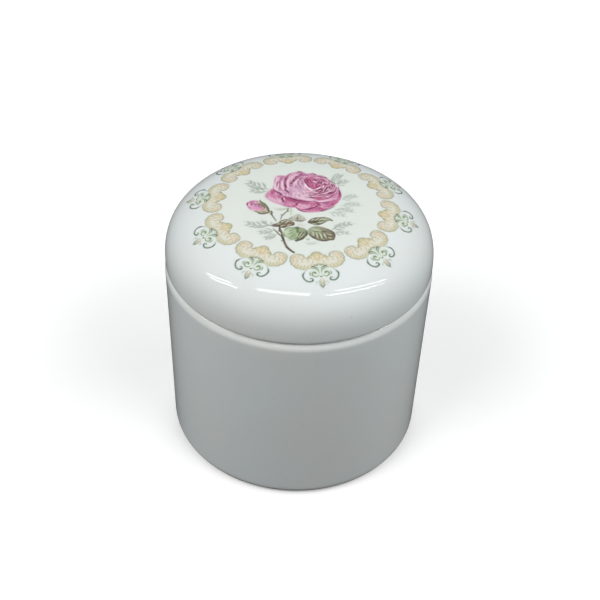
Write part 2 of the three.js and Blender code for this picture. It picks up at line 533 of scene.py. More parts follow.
def outer_petals(ink):
    strokes(ink, 1, MAGENTA, 0.5, [(-11.2, 7.8), (-10.9, 6.4), (-11.4, 5.2)],
            [(-9.4, 5.6), (-8.4, 4.4), (-7.6, 2.6)], soft=0.6)
    strokes(ink, 1.2, (232, 202, 218), 0.6, [(-12.2, 4.6), (-11, 2.4), (-9.2, 0.8)],
            [(-8.8, 3), (-8, 1.4), (-7.6, 0.2)], soft=0.7)
    # the tall petals that close up the left side
    patch(ink, [(-10.5, 9.4), (-10.5, 13), (-10.3, 17), (-8.6, 18.2), (-6.4, 18), (-5.8, 16),
                (-6.3, 12.6), (-6.3, 9.4), (-5, 6.2), (-5.6, 4.4), (-7.8, 5.8), (-9.6, 7.4)],
          (204, 146, 180), PALE, (-1, 0.1), streak=0.45, rim=(238, 208, 226), rim_width=0.7, seed=4,
          soft=0.25)
    strokes(ink, 0.8, (192, 122, 162), 0.55, [(-8.6, 16), (-8.1, 12.4), (-8.3, 9.2), (-7.2, 7.2)],
            [(-7.4, 15.8), (-7, 12.8), (-7.4, 9.6)], [(-9.8, 17.4), (-8.4, 17.5), (-6.8, 17.6)],
            [(-10.2, 16.4), (-10.1, 14), (-10.2, 11.6)], soft=0.35)
    strokes(ink, 0.9, MAGENTA, 0.7, [(-6.2, 17.2), (-6.2, 15.4), (-6.7, 14.4)],
            [(-6.5, 14), (-6.6, 12.4), (-6, 10.4)], soft=0.4)
    stroke(ink, [(-5.9, 16.6), (-5.8, 13.4), (-5.4, 10.6)], 0.7, PALE, 0.9)
    # the tops of the petals behind the cup
    patch(ink, [(-5.6, 14), (-5.4, 18), (-3.6, 20.2), (-1.6, 21.3), (0.2, 20.8), (1.2, 19.2),
                (-0.4, 17.8), (-2.4, 16.8), (-3.6, 14.6)], (200, 140, 176), (226, 186, 208), (-1, 0.2),
          streak=0.5, seed=9)
    strokes(ink, 0.6, (180, 106, 148), 0.6, [(-4.8, 14.6), (-4.4, 17.4), (-3, 19.4)],
            [(-3.8, 16.8), (-2.8, 18.6), (-0.8, 19.6)], [(-3, 20), (-1.6, 20.5), (0, 20.3)], soft=0.3)
    # the petals under the left side of the cup
    patch(ink, [(-7, 3.9), (-5.8, 4.3), (-4.4, 3.6), (-2, 2.4), (-0.6, 1), (-1.6, -1), (-2, -2.2),
                (-4.4, -2.3), (-6.4, -1.4), (-6.1, 0.6)], (208, 134, 174), MAGENTA, (0.6, 0.7),
          streak=0.3, seed=5)
    stroke(ink, [(-5, -0.2), (-3.6, 0), (-2.2, 0.2)], 1.8, (218, 158, 188), 0.8, soft=0.7)
    stroke(ink, [(-7.6, -1.4), (-6.2, -1.6), (-4.6, -2.2), (-2.6, -2.4)], 0.5, DEEP, 0.6, soft=0.3)


def lower_petals(ink):
    # the turned-under rim along the bottom, then the broad petals that lie on it
    patch(ink, [(-2.1, -2.2), (0, -1.6), (3.4, -2.4), (6.4, -1.6), (9.4, -2.2), (7.4, -4.1), (4.2, -5),
                (0.8, -5), (-1, -3.8)], (218, 150, 186), (180, 92, 136), (0, 1), streak=0.25, seed=6,
          soft=0.25)
    patch(ink, [(-1.9, -1.8), (-1.2, 0), (0.8, 0.6), (3.6, 0.6), (5.4, 0.4), (5.6, -0.8), (4.2, -2.2),
                (2.4, -2.9), (0, -3.1), (-1.3, -2.7)], (192, 108, 150), (224, 168, 196), (-0.5, -0.8),
          streak=0.3, seed=7, mid=0.4)
    stroke(ink, [(-0.8, -1.2), (0.8, -1.5), (2.4, -1.2)], 1.6, (228, 178, 204), 0.7, soft=0.7)
    patch(ink, [(6.4, 0.4), (8, 1.2), (10.2, 1), (10.8, -0.2), (9.8, -1.8), (8, -2.4), (6.6, -1.4)],
          (184, 98, 142), (216, 156, 188), (-0.5, -0.3), streak=0.3, seed=8, mid=0.4)
    strokes(ink, 0.9, DEEP, 0.55, [(6.2, -4.3), (7.6, -3.8), (9.2, -2.6)],
            [(0.4, -3.5), (2.6, -3.3), (4.6, -2.4)], [(4.4, 1.7), (5.6, 0.9), (6.5, -0.4), (6.4, -1.4)],
            soft=0.4)
    stroke(ink, [(-2.4, 1.4), (0.4, 0.8), (3.4, 0.9)], 1.2, MAGENTA, 0.5, soft=0.6)


def cup_petals(ink):
    """The great pale petal on the heart's left."""
    patch(ink, [(-4.9, 4.6), (-4.6, 8), (-4.6, 11), (-4.4, 14), (-3, 16.6), (-0.8, 17.4), (0.4, 15.4),
                (1.6, 12.8), (3, 10.6), (4.2, 9.2), (4.4, 7.4), (4.2, 5), (4.6, 3), (3.4, 2.2),
                (1.2, 2.5), (-1, 3), (-3.4, 4)], (200, 148, 180), (226, 186, 208), (0.3, -1), streak=0.55,
          seed=11, soft=0.2, mid=0.4)
    strokes(ink, 1, (236, 200, 220), 0.55, [(-3.2, 5.2), (-1.6, 4.2), (0.6, 3.6), (2.6, 3.9)],
            [(1.2, 3.3), (2.4, 3.6), (3.4, 3.2)], soft=0.6)
    strokes(ink, 0.7, (184, 116, 156), 0.55, [(-2.2, 15.8), (-1.7, 17), (-0.6, 18.2), (1, 18.8)],
            [(-1.8, 14.6), (-1.4, 12.6), (-1.6, 10.4)], [(-0.1, 15.4), (0, 13.8), (-0.3, 12.4)],
            soft=0.35)


def heart(ink):
    patch(ink, [(0.5, 15.2), (0.9, 16.6), (2.4, 17.6), (4.6, 18.2), (7, 17.6), (8.4, 15.8), (8.4, 13),
                (7.4, 11.4), (6.2, 10.6), (4.8, 10), (3.4, 9.9), (2.4, 11.2), (1.4, 13.2)],
          (184, 96, 138), (210, 130, 170), (0.6, 0.8), streak=0.5, seed=14, soft=0.25)
    patch(ink, [(0.8, 15.6), (1.8, 16.4), (3.2, 16), (3.9, 14.2), (3.6, 12.4), (3.2, 10.6), (2.2, 11.8),
                (1.4, 13.4)], (196, 108, 150), (168, 82, 124), (-0.6, 0.5), streak=0.5, seed=15,
          soft=0.35)
    strokes(ink, 0.4, (222, 158, 190), 0.6, [(2, 15.8), (2.5, 14.4), (3.2, 12.8)],
            [(3, 16.4), (3.4, 15.2), (3.9, 14)], [(4.6, 16.8), (5.2, 15.8), (5.4, 14.8)],
            [(6, 17), (6.6, 16), (6.8, 15.2)], [(4.4, 13.2), (4.6, 12.2), (4.2, 11.2)])
    strokes(ink, 0.4, (136, 52, 94), 0.65, [(1.6, 15.8), (2, 14.6), (2.8, 12.6)],
            [(2.6, 16.6), (3, 15), (3.5, 13.4)], [(4, 16.6), (4.6, 15.4), (4.8, 14.2)],
            [(5.6, 17.2), (6, 16.2), (6.2, 15)], [(3.8, 12.8), (3.9, 11.8), (3.5, 10.8)])
    strokes(ink, 0.75, (214, 148, 184), 0.6, [(1.4, 17.6), (3, 18.3), (4.8, 18.6), (6.6, 18)],
            [(6.2, 17.8), (7.8, 17), (9.2, 15.9)], [(3.4, 15.8), (4.2, 14.8), (4.4, 13.2), (4, 11.6)],
            [(6.4, 15.6), (6.3, 14.2), (5.8, 12.8)], soft=0.3)
    strokes(ink, 0.6, DEEP, 0.6, [(5.4, 14.4), (5.4, 13.2), (4.8, 11.6)],
            [(7.6, 16.4), (7.9, 15.2), (7.8, 14)], [(2.2, 16.9), (4, 17.2), (5.8, 16.7)],
            [(4.2, 16.3), (4.9, 15.6), (5.2, 14.9)], soft=0.3)


def folded_petals(ink):
    """Crescents packed round the heart on its right, each a pale lip over a dark gap."""
    for reach, start, end, lip in ((4.6, -118, 2, 0.62), (5.9, -100, 18, 0.6), (7.2, -96, 30, 0.62),
                                   (8.5, -92, 12, 0.7)):
        for radius, rgb, alpha, width in ((reach, MAGENTA, 0.7, 1.15), (reach + 0.42, DEEP, 0.65, 0.55),
                                          (reach - 0.32, PALE, 0.85, lip)):
            angles = np.radians(np.linspace(start, end, 7))
            squash = 0.86 + 0.1 * np.sin(angles)
            path = [(HEART_X + radius * math.cos(a), HEART_Y + radius * math.sin(a) * s)
                    for a, s in zip(angles, squash)]
            stroke(ink, path, width, rgb, alpha, tip=(0.1, 0.1), soft=0.3)
    stroke(ink, [(4.8, 3.4), (6.6, 3.5), (8.8, 4), (10.2, 4.8)], 1, (176, 70, 118), 0.75, soft=0.3)


def right_petals(ink):
    patch(ink, [(12.2, 12.6), (13.4, 10.8), (13.9, 8), (13.4, 5), (11.8, 3.2), (9.6, 2.2), (7, 1.6),
                (5, 2), (4.6, 2.8), (6.6, 2.9), (9, 3.5), (11, 5), (11.9, 7.4), (12, 10.2)],
          (204, 140, 176), (226, 178, 204), (-0.6, -0.6), streak=0.4, seed=21, rim=PALE, rim_width=0.5)
    stroke(ink, [(11.9, 12.2), (12.3, 9.6), (12.2, 7), (11.2, 4.8)], 0.6, (190, 118, 158), 0.7, soft=0.35)
    patch(ink, [(13.5, 10), (14.3, 7.6), (14.4, 5.6), (13.6, 3), (12.6, 1), (12.2, 2.6), (13, 4.6),
                (13.4, 7)], (186, 98, 140), (206, 128, 166), (0, -1), streak=0.3, seed=22)
    stroke(ink, [(11, 3.4), (12.2, 2.2), (12.7, 1)], 1, (190, 98, 142), 0.6, soft=0.4)


def petal_lines(ink):
    """Fine lines that follow the petals, dark and light by turns."""
    draw = np.random.default_rng(5)
    # round the heart
    for i in range(170):
        radius, start, sweep = draw.uniform(3, 10.4), draw.uniform(-110, 66), draw.uniform(14, 34)
        angles = np.radians(start + np.linspace(0, sweep, 5))
        path = [(HEART_X + radius * math.cos(a) * (0.82 if a > 0.4 else 1),
                 HEART_Y - 0.4 + radius * math.sin(a) * (0.95 if a < 0 else 0.64)) for a in angles]
        rgb = SHADE if i % 2 else BLUSH
        stroke(ink, path, draw.uniform(0.3, 0.5), rgb, draw.uniform(0.35, 0.7), soft=0.12)
    # down the left side
    for i in range(130):
        x, y, long = draw.uniform(-10, 1.2), draw.uniform(5.6, 18), draw.uniform(1.2, 3.4)
        path = [(x, y), (x - 0.02 * x, y - long / 2), (x + 0.01 * x * x + 0.2, y - long)]
        rgb = (166, 100, 140) if i % 2 else (240, 214, 230)
        stroke(ink, path, draw.uniform(0.28, 0.5), rgb, draw.uniform(0.2, 0.45), soft=0.14)
    # across the petals at the bottom
    for i in range(50):
        x = draw.uniform(-6.2, 9)
        y = draw.uniform(-3.6 if 0 < x < 6 else -1.6, 1.4)
        path = [(x, y), (x + 0.7, y + 0.08 * x - 0.4), (x + 1.4, y + 0.16 * x - 0.6)]
        rgb = DEEP if i % 2 else (236, 196, 216)
        stroke(ink, path, draw.uniform(0.3, 0.5), rgb, draw.uniform(0.15, 0.35), soft=0.16)


def wrapping_petals(ink):
    """The petals that wrap round the cup's left side, each a pale lip beside a dark gap."""
    strokes(ink, 0.95, (156, 70, 114), 0.6,
            [(1.9, 19.8), (-1, 18.5), (-2.8, 15.8), (-4.2, 12.9), (-4.5, 9.8)],
            [(-3, 20.4), (-5.4, 18.2), (-6.4, 14.7), (-6.3, 10), (-5.1, 6)], soft=0.3)
    strokes(ink, 0.85, (168, 84, 128), 0.55, [(3.6, 19.6), (0.4, 18), (-1.2, 15.6), (-1.9, 13.2)],
            [(-7, 17.6), (-7.9, 16.2), (-8.6, 13), (-8.3, 9.7), (-7.1, 7.6)], soft=0.3)
    strokes(ink, 0.8, (240, 208, 226), 0.75, [(-0.3, 20.2), (-3.8, 17.6), (-5.3, 14.3), (-5.3, 9.4)],
            [(2.7, 18.7), (-0.6, 16.9), (-2.5, 13.8), (-3.4, 9.8)],
            [(-7, 15.8), (-7.4, 12.6), (-7.1, 9.4), (-5.8, 7)],
            [(-9.3, 16.6), (-9.8, 13), (-9.6, 9.6), (-8.2, 7)], soft=0.3)


def bloom_accents(ink):
    """The darkest gaps and the brightest lips, drawn last so that they stay crisp."""
    strokes(ink, 0.5, SHADE, 0.75, [(-2.5, 20.6), (-1.7, 21.2), (-0.6, 21.2), (-0.1, 20.7)],
            [(-1.5, 19.1), (-0.7, 19.6), (0.1, 19.7)], [(-2.9, 16.6), (-2.6, 17.4), (-2, 18.2)],
            [(-1.3, 15.6), (-1, 16.4), (-0.3, 16.9), (0.4, 17.1)],
            [(-9.3, 13.9), (-9.35, 12), (-9.45, 10.1)], [(-6.9, 16.8), (-6.1, 15.8), (-6.1, 14.8)],
            [(0.7, 15.9), (0.9, 14.2), (1.8, 12.4), (2.4, 10.8), (3, 10.2)],
            [(6.8, 14.6), (6.95, 13.9), (6.9, 13)], [(5.1, 10.9), (5.9, 11.4), (6.6, 12.6)],
            [(4.6, 9.2), (5.6, 8.9), (6.4, 9.6), (6.8, 10.6)],
            [(7.9, 10.8), (7.5, 9.5), (6.6, 8), (5.8, 7.5)], [(8.9, 11.6), (8.8, 10.2), (8.1, 9.2)],
            [(9.2, 6.9), (10.2, 7.4), (10.9, 8.3)], [(6.4, 5.6), (7.4, 6), (8.6, 6.2)],
            [(8, 13.8), (8.5, 13), (8.4, 12.2)], [(9.6, 14.6), (9.9, 13.6), (9.8, 12.6)],
            [(3.7, 20.2), (4.4, 19.8), (5.2, 19.2)], [(8, 18.4), (8.6, 17.8), (9, 17.1)],
            [(13.5, 9.8), (13.8, 7.9), (13.5, 5.4)],
            [(12.5, -0.2), (11.2, -1.4), (9.6, -2.8), (7.4, -4.2)],
            [(-2.1, -2.3), (-1, -3.8), (0.6, -4.7), (2.4, -5)],
            [(1.2, -3.1), (3.3, -2.5), (5.4, -1.2), (6.1, 0.2)],
            [(5.8, 1), (7.4, 1.4), (9, 1.8), (10.8, 2.1)], [(-1.9, -1.4), (-1.6, -0.2), (-1.4, 0.8)])
    strokes(ink, 0.78, SHADE, 0.8, [(-3.4, 15.6), (-3.4, 14.8), (-3.2, 14.2)],
            [(-4.2, 13.5), (-4.2, 12.9), (-4.4, 12.3)], [(-6.3, 12.4), (-6.2, 11), (-5.7, 9.8)],
            [(-6.6, 9.4), (-6.2, 8.4), (-5.4, 7.6), (-4.9, 6)],
            [(-10.7, 9.1), (-10.2, 8), (-9, 6.9), (-7.9, 6), (-7.3, 5.1), (-6, 4.3)],
            [(-7.2, 4.1), (-7.05, 2.6), (-6.7, 1.2), (-6.3, 0.2)], [(2.7, 5), (3.8, 4.1), (5, 3.5)])
    stroke(ink, [(-4.7, 3.8), (-3.5, 3), (-2.1, 2.3), (-0.6, 1.9), (1, 1.7), (3, 1.7)], 0.95,
           (134, 56, 96), 0.8, tip=(0.5, 0.3), soft=0.3)
    strokes(ink, 0.7, (184, 70, 120), 0.7, [(5, 3.2), (6.4, 3.1), (8, 3.3)],
            [(10.8, 1.4), (11.3, 0.4), (10.9, -0.6)], soft=0.3)
    strokes(ink, 0.6, (250, 232, 242), 0.95, [(0.5, 14.2), (1.1, 12.3), (2, 10.6), (3, 9.5), (4, 8.7)],
            [(2.4, 8.9), (3.2, 9), (3.9, 8.3)], soft=0.22)
    strokes(ink, 0.44, (248, 228, 240), 0.85, [(5, 9.7), (6.2, 10.6), (6.9, 11.8)],
            [(9.6, 8.4), (10.5, 8.8), (11.3, 9.6)], [(8.6, 5.3), (9.4, 5), (10.2, 5.4)],
            [(-5.4, 11.6), (-5.3, 10.7), (-5, 9.6)], [(-5.9, 9.1), (-5.4, 8.8), (-4.9, 8)],
            [(-6.5, 3.8), (-6.5, 2.8), (-6, 1.6)], [(-8.9, 13.2), (-8.9, 11.4), (-8.8, 9.6)],
            [(7.6, 12.6), (7.9, 11.8), (7.6, 10.8)], [(7.4, 14.8), (7.6, 14), (7.5, 13.4)],
            [(4.2, 8.2), (4.8, 7.6), (5.6, 7.3)], [(5.4, 1.9), (6.8, 1.75), (8.4, 2.1), (9.8, 2.8)],
            soft=0.2)


def stems(ink):
    strokes(ink, 0.55, (112, 116, 92), 0.9, [(-10.5, -7.2), (-9.9, -8.6), (-9.3, -9.8), (-8.7, -11.2)],
            [(-4.8, -3.2), (-5, -4.8), (-5.9, -6.2), (-6.8, -7.9), (-7.2, -10)], tip=(0.9, 0.6))
    strokes(ink, 0.9, BARK, 1,
            [(-7.4, -14.2), (-7.2, -16), (-6.5, -17.8), (-6.1, -20), (-5.6, -22.2), (-5, -24.2)],
            [(-5, -24), (-4.3, -25.6), (-3.2, -27), (-2, -28.1)], tip=(0.8, 0.9), soft=0.18)
    strokes(ink, 0.55, BARK, 0.9, [(-9.8, -15.3), (-8.6, -16.9), (-7.6, -18.5), (-6.5, -19.8)],
            tip=(0.4, 1))
    strokes(ink, 0.3, (172, 160, 132), 0.8, [(-7, -16.4), (-6.3, -18), (-5.8, -20.4)],
            [(-5.3, -22.4), (-4.6, -24.4), (-3.9, -25.8)], [(-8.2, -17), (-7.4, -18.2), (-6.9, -19)])
    strokes(ink, 0.45, (66, 58, 48), 0.8, [(-7.6, -15.6), (-7.4, -16.6), (-6.9, -17.6)],
            [(-6.6, -19.4), (-6.3, -20.8), (-5.9, -22)], [(-5.2, -24.6), (-4.6, -25.7), (-3.8, -26.6)])
    strokes(ink, 0.42, BARK, 0.9, [(-6, -22), (-6.4, -22.2), (-6.7, -22.1)],
            [(-7.3, -16.8), (-7.7, -16.9), (-8, -16.7)], [(-6.7, -7.4), (-7.1, -7.2), (-7.4, -6.9)],
            [(-4.8, -4.6), (-4.6, -4.9), (-4.7, -5.3)], tip=(1, 0.1))


def bud(ink):
    patch(ink, [(-19.9, -1.8), (-19.9, -0.6), (-19.3, 0.2), (-18, 1), (-16.6, 1.3), (-15.2, 0.6),
                (-13.8, -1.4), (-12.4, -3.8), (-13.2, -5.2), (-15.2, -5.5), (-16.8, -5.2), (-18.2, -4.4),
                (-19.3, -3.2)], (190, 116, 160), (220, 166, 196), (-0.4, -0.6), seed=31, soft=0.3,
          mid=0.4, rim=(222, 176, 202), rim_width=0.8)
    strokes(ink, 1, (226, 178, 204), 0.8, [(-18.6, 0.3), (-17.2, 0.7), (-16, 0.2)],
            [(-19, -3.6), (-18, -4.6), (-16.4, -4.9)], soft=0.4)
    strokes(ink, 0.6, (140, 50, 96), 0.85, [(-19.5, -0.2), (-19.5, -1.2), (-19.3, -2.4)], soft=0.2)
    strokes(ink, 0.5, (244, 222, 234), 0.9, [(-18.9, -0.6), (-18.9, -1.6), (-18.6, -2.4)],
            [(-17.2, -0.4), (-16.6, -0.5), (-16, -0.4)], [(-17.6, -2.2), (-17, -2), (-16.4, -2.1)],
            soft=0.25)
    strokes(ink, 0.95, (124, 56, 92), 0.85, [(-18.4, -1), (-18, -1.2), (-17.6, -1.1)], soft=0.3)
    strokes(ink, 0.7, (130, 62, 98), 0.8, [(-16.9, -1.1), (-16.5, -1.4), (-16.2, -1.7)],
            [(-15.9, -1.2), (-15.3, -1.3), (-14.6, -1.9)], soft=0.25)
    strokes(ink, 1.3, (186, 120, 168), 0.7, [(-16, -2.4), (-15, -2.6), (-14.2, -3.4)], soft=0.6)
    strokes(ink, 0.9, (222, 150, 186), 0.7, [(-16.6, -3.6), (-15.4, -4), (-14, -4.4)], soft=0.5)
    # sepals wrapping the bud, the hip below it
    patch(ink, [(-15.9, -0.2), (-15.2, 1.5), (-14.5, 0.6), (-13.3, -0.6), (-12.4, -2.2), (-11.8, -3.8),
                (-11.5, -5.4), (-12.6, -5.6), (-13.2, -3.8), (-14.2, -2.2), (-15.2, -1)], (150, 150, 116),
          (208, 204, 178), (-0.7, -0.5), seed=32, streak=0.4)
    strokes(ink, 0.62, (88, 94, 72), 0.9,
            [(-15.2, 1.5), (-14.6, 0.3), (-13.4, -0.7), (-12.6, -2), (-11.9, -3.4), (-11.6, -5)],
            tip=(0.5, 0.8))
    strokes(ink, 0.6, (172, 90, 136), 0.6, [(-19, 0), (-18, 0.5), (-16.9, 0.6)],
            [(-19.2, -2.8), (-18.6, -3.6), (-17.8, -4.1)], [(-17.4, -1.6), (-16.8, -2.2), (-16.2, -2.8)],
            soft=0.3)
    strokes(ink, 0.34, (84, 84, 60), 0.75, [(-14.9, 0.2), (-14.4, -0.8), (-13.8, -1.6)],
            [(-13.6, -1.9), (-13.2, -3), (-13.1, -4)], [(-12.6, -2.6), (-12.4, -3.6), (-12.3, -4.6)],
            [(-13.2, -4.6), (-12.6, -5.1), (-12.1, -5.8)])
    strokes(ink, 0.36, (222, 214, 190), 0.8, [(-12.9, -3.2), (-12.8, -4.2), (-12.5, -5)])
    strokes(ink, 0.5, (112, 112, 80), 0.8, [(-15.9, -0.4), (-14.8, -1.4), (-13.8, -2.4), (-13, -3.8)],
            [(-14.4, -0.6), (-13.6, -1.8), (-12.9, -3.2)])
    patch(ink, [(-17.2, -5.5), (-15.8, -5.2), (-14.2, -4.8), (-12.8, -4.4), (-11.6, -4.6), (-11.2, -5.6),
                (-12, -6.6), (-13.4, -7.1), (-14.8, -7), (-15.8, -6.2)], (142, 130, 108), (214, 200, 176),
          (0.1, 1), seed=33, streak=0.35)
    strokes(ink, 0.72, (90, 88, 68), 0.9, [(-17.2, -5.6), (-15.8, -6), (-14.7, -6.9), (-13.3, -6.9),
                                           (-12, -6.3), (-11.4, -5.3)],
            [(-12.4, -4.2), (-11.8, -4.8), (-11.5, -5.6)], tip=(0.2, 0.9), soft=0.2)
    patch(ink, [(-11.4, -5.4), (-10.7, -5), (-10.3, -6), (-10.5, -7.5), (-11.4, -7)], (140, 140, 116),
          (190, 188, 170), (-0.6, -0.2), seed=34)
    strokes(ink, 0.5, (76, 76, 60), 0.95, [(-10.9, -4.9), (-10.4, -5.9), (-10.5, -7.2), (-10.2, -8)],
            tip=(0.5, 0.8))


def leaves(ink):
    # behind the bloom's foot: a faint brown leaf and a pale stalk
    stroke(ink, [(-3.6, -2.8), (-3.7, -5), (-3.6, -8)], 0.8, (190, 200, 168), 0.75, soft=0.4)
    patch(ink, [(-4.5, -9.4), (-3.4, -8), (-2.2, -6.9), (-0.9, -6.3), (0.1, -7.4), (1.1, -8.3),
                (1.8, -9.4), (1.3, -10.4), (-0.2, -10.8), (-1.6, -10.9), (-3.2, -10.3)], (138, 134, 114),
          (196, 198, 180), (0, 1), alpha=0.8, seed=41, streak=0.4, soft=0.35)
    strokes(ink, 0.4, (224, 220, 206), 0.7, [(-0.6, -7.2), (-0.6, -8.8), (-0.9, -10.2)],
            [(-3.2, -8.8), (-2.4, -9.6), (-1.8, -10.4)], [(0.9, -8.9), (0.4, -9.6), (0.2, -10.3)],
            [(-2.2, -7.6), (-1.9, -8.6), (-1.6, -9.6)], soft=0.2)
    strokes(ink, 0.7, (110, 88, 78), 0.75, [(-2.2, -10.6), (-1, -10.5), (0.2, -10.6), (1.2, -10)],
            [(-1.4, -8), (-1.3, -9), (-1.5, -9.9)], soft=0.3)
    # the pointed leaf on the right
    patch(ink, [(2.4, -11.3), (2.8, -10), (3.9, -8.8), (5.2, -8.1), (6.6, -7.9), (8, -7.6), (9.2, -7.9),
                (10.3, -8.4), (11.2, -9.3), (11.3, -10), (10.2, -9.7), (9.2, -10.1), (8.4, -11),
                (7.4, -11.9), (6.2, -12.6), (4.9, -12.6), (3.8, -12.1)], BROWN, (164, 172, 142),
          (1, 0.35), seed=42, streak=0.35, edge=INKY, edge_width=0.4)
    strokes(ink, 0.62, (72, 72, 50), 0.85,
            [(2.7, -11.2), (4.2, -10.6), (5.8, -10.4), (7.4, -9.8), (9, -9.4)],
            [(4, -10), (5, -9.2), (5.8, -8.4)], [(5.6, -9.9), (6.5, -9.1), (7.2, -8.3)],
            [(5.2, -11.9), (6.2, -11.6), (7.2, -11.6)], [(3.3, -11.6), (4.4, -11.4), (5.4, -11)],
            soft=0.2)
    strokes(ink, 0.48, (226, 226, 206), 0.85, [(4.6, -9.9), (5.5, -9.1), (6.4, -8.3)],
            [(6.1, -10), (7, -9.1), (7.9, -8.3)], [(3.4, -10.3), (4.2, -9.5), (4.8, -8.8)],
            [(7.4, -9.6), (8.2, -9), (8.9, -8.5)], [(3.6, -11.9), (4.8, -11.9), (6, -12.1)],
            [(5.8, -11.1), (6.6, -11), (7.6, -10.8)], soft=0.18)
    # the brown leaf on the stem
    patch(ink, [(-10.3, -13.6), (-9, -12.6), (-8, -12), (-7.2, -10.7), (-5.9, -9.9), (-4.6, -9.8),
                (-3.3, -10.5), (-2.2, -11.8), (-2.4, -12.9), (-3.4, -13.7), (-4.6, -14.2), (-5.8, -15),
                (-7, -14.8), (-7.9, -14.4), (-9, -14.6), (-9.9, -14.2)], (134, 112, 96), (168, 164, 138),
          (-0.3, 1), seed=43, streak=0.4, edge=(82, 70, 56), edge_width=0.42)
    strokes(ink, 1.4, (138, 112, 116), 0.85, [(-10, -13.7), (-9, -13.4), (-8, -13.6)], soft=0.4)
    strokes(ink, 0.62, (78, 66, 54), 0.85, [(-9.6, -13.9), (-7.6, -13.3), (-5.6, -12.7), (-3.2, -12.3)],
            [(-6.6, -12.8), (-6.3, -11.8), (-5.6, -10.9)], [(-4.8, -12.5), (-4.2, -11.6), (-3.4, -11.2)],
            [(-6, -14.6), (-5.4, -13.9), (-4.8, -13.4)], [(-3, -13.6), (-2.5, -12.8), (-2.5, -11.8)],
            [(-8.6, -14.3), (-7.8, -13.9), (-7.2, -13.5)], soft=0.2)
    strokes(ink, 0.55, (84, 92, 62), 0.8, [(-6.4, -12), (-5.9, -11.5), (-5.3, -11.4)],
            [(-7.4, -12.6), (-6.9, -11.8), (-6.4, -11.2)])
    strokes(ink, 0.5, (206, 200, 178), 0.85, [(-7, -12.5), (-6.4, -11.3), (-5.8, -10.5)],
            [(-5.4, -12.2), (-4.8, -11.3), (-4, -10.7)], [(-7.4, -14.2), (-6.4, -13.5), (-5.4, -13.2)],
            [(-5, -13.9), (-4.2, -13.2), (-3.2, -12.9)], [(-8.4, -12.7), (-7.7, -12.7), (-7, -12.9)],
            soft=0.2)
    # the round leaf, pale on its left and folded dark on its right
    patch(ink, [(-5.9, -16.8), (-5.5, -15.4), (-4.3, -14.4), (-2.8, -14.2), (-1.4, -14.1), (0, -14.3),
                (1.3, -14.9), (2.1, -16), (2.4, -17.3), (2.2, -18.8), (1.5, -20.1), (0.4, -21.2),
                (-0.6, -21.8), (-1.3, -22.4), (-2, -21.7), (-3.1, -21.3), (-4.4, -20.6), (-5.5, -19.6),
                (-5.9, -18.3)], (130, 150, 108), (184, 200, 168), (-1, 0.1), seed=44, streak=0.25,
          soft=0.35)
    strokes(ink, 2.2, (204, 218, 192), 0.8, [(-4.4, -15.6), (-4.8, -17.6), (-4, -19.6)], soft=0.9)
    strokes(ink, 1.3, (150, 182, 130), 0.7, [(-2.4, -16.4), (-2.2, -18.4), (-2, -20.4)], soft=0.6)
    patch(ink, [(-0.9, -16.6), (0.4, -15.6), (1.6, -15.6), (2.3, -17.2), (2.1, -18.9), (1.4, -20.1),
                (0.3, -21.2), (-1.2, -22.2), (-0.9, -19.6)], (80, 88, 60), (158, 168, 134), (-0.2, 1),
          seed=45, streak=0.35, alpha=0.85)
    strokes(ink, 1.5, (88, 102, 72), 0.9, [(-2.2, -14.6), (-1.2, -14.7), (-0.2, -14.9)], soft=0.45)
    strokes(ink, 0.9, (92, 112, 70), 0.85, [(-1.2, -15), (-1, -16.6), (-0.9, -17.9)], soft=0.3)
    strokes(ink, 0.6, (62, 72, 48), 0.9, [(1.6, -15.4), (2.2, -16.6), (2.3, -18.2), (1.8, -19.6)],
            [(1.8, -19.4), (0.9, -20.7), (-0.4, -21.6), (-1.3, -22.3)],
            [(-1.9, -21.4), (-1.5, -21.9), (-1.2, -22.4)], soft=0.18)
    strokes(ink, 0.5, (112, 132, 92), 0.7, [(-5.7, -16.6), (-4.9, -15.2), (-3.6, -14.4)],
            [(-5.8, -17.6), (-5.6, -19), (-4.7, -20.2)], [(-4.2, -20.6), (-3.2, -21.2), (-2.2, -21.5)],
            [(-4.8, -18.6), (-3.6, -18), (-2.2, -16.6)], [(-4.2, -16.8), (-3.2, -16.2), (-2, -15.4)],
            [(-3.8, -20.2), (-2.8, -19.6), (-1.7, -18.2)], soft=0.25)
    strokes(ink, 0.42, (86, 84, 56), 0.85, [(-1.3, -21.6), (-0.9, -19.8), (-0.3, -18.4)],
            [(-0.9, -21.5), (0.1, -19.8), (0.9, -18.2)], [(-0.5, -21.3), (0.9, -20), (1.8, -18.6)],
            [(-0.9, -18.6), (-0.3, -17.4), (0.3, -16.6)], [(0.4, -18.2), (1, -17.2), (1.4, -16.4)])
    strokes(ink, 0.42, (206, 210, 180), 0.85, [(-1.1, -21.2), (-0.5, -19.4), (0.3, -17.8), (0.9, -16.6)],
            [(-0.6, -21), (0.6, -19.2), (1.5, -17.6)], [(-1.2, -20.4), (-1.1, -18.6), (-0.6, -17)])
